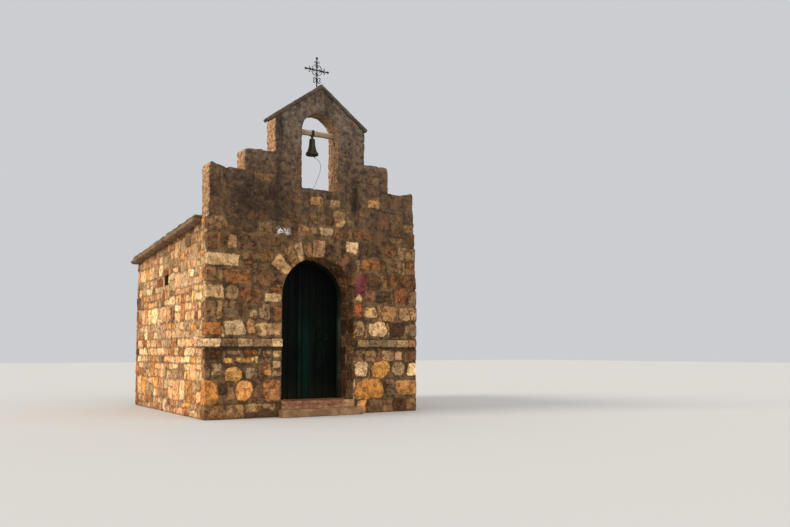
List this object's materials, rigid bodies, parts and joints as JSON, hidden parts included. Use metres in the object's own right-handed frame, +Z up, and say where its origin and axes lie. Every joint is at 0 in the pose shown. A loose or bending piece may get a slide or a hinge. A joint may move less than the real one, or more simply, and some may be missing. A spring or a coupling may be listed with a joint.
{
  "type": "small chapel",
  "caption": "Small rubble-stone chapel with an arched doorway, a stepped front gable with a bell niche, a wrought iron cross and a sloping concrete roof slab",
  "frame": {"origin": "On the ground line in the middle of the walls' outline, under the floor slab", "axes": "+Z up, the front with the door and the bell gable faces -Y, +X to the right of the front"},
  "size_m": [3.72, 4.103, 5.507],
  "materials": {
    "rubble_stone": "rough",
    "weathered_gable": "rough",
    "coping_slab": "rough",
    "belt_stone": "rough",
    "floor_stone": "rough",
    "step_stone": "rough",
    "roof_concrete": "rough",
    "roof_cap": "rough",
    "door_green": "satin",
    "frame_green": "satin",
    "wrought_iron": "rough",
    "beam_wood": "rough",
    "bell_bronze": "weathered",
    "cord_fibre": "matt"
  },
  "bodies": {
    "root": {"front_wall_left": "rubble_stone", "front_wall_right": "rubble_stone", "door_arch": "rubble_stone", "wall_over_door_left": "rubble_stone", "wall_over_door_right": "rubble_stone", "left_wall": "rubble_stone", "right_wall": "rubble_stone", "back_wall": "rubble_stone", "gable_wall": "weathered_gable", "left_outer_step": "weathered_gable", "left_inner_step": "weathered_gable", "right_inner_step": "weathered_gable", "right_outer_step": "weathered_gable", "belfry_pier_left": "weathered_gable", "belfry_pier_right": "weathered_gable", "belfry_head": "weathered_gable", "coping_left": "coping_slab", "coping_right": "coping_slab", "belt_left": "belt_stone", "belt_right": "belt_stone", "belt_return_left": "belt_stone", "floor_slab": "floor_stone", "threshold": "step_stone", "front_step": "step_stone", "roof_slab": "roof_concrete", "roof_cap": "roof_cap", "door_frame": "frame_green", "door_pintles": "wrought_iron", "bell_collar": "wrought_iron", "cross_shaft": "wrought_iron", "cross_arms": "wrought_iron", "cross_corner_scrolls": "wrought_iron", "cross_foot_scrolls": "wrought_iron", "bell_beam": "beam_wood", "bell_cord": "cord_fibre", "bell_cord_coil": "cord_fibre"},
    "bell": {"bell": "bell_bronze", "bell_clapper": "wrought_iron"},
    "left_leaf": {"door_leaf_left": "door_green", "door_straps_left": "wrought_iron"},
    "right_leaf": {"door_leaf_right": "door_green", "door_strip": "door_green", "door_straps_right": "wrought_iron"}
  },
  "joints": [
    {"name": "left_leaf_hinge", "type": "hinge", "parent": "root", "child": "left_leaf", "pos_m": [-0.596, -1.383, 1.2], "axis": [0, 0, 1], "range_deg": [0, 100]},
    {"name": "right_leaf_hinge", "type": "hinge", "parent": "root", "child": "right_leaf", "pos_m": [0.587, -1.383, 1.2], "axis": [0, 0, -1], "range_deg": [0, 100]},
    {"name": "bell_swing", "type": "hinge", "parent": "root", "child": "bell", "pos_m": [-0.062, -1.755, 4.231], "axis": [1, 0, 0], "range_deg": [-20, 20]}
  ]
}
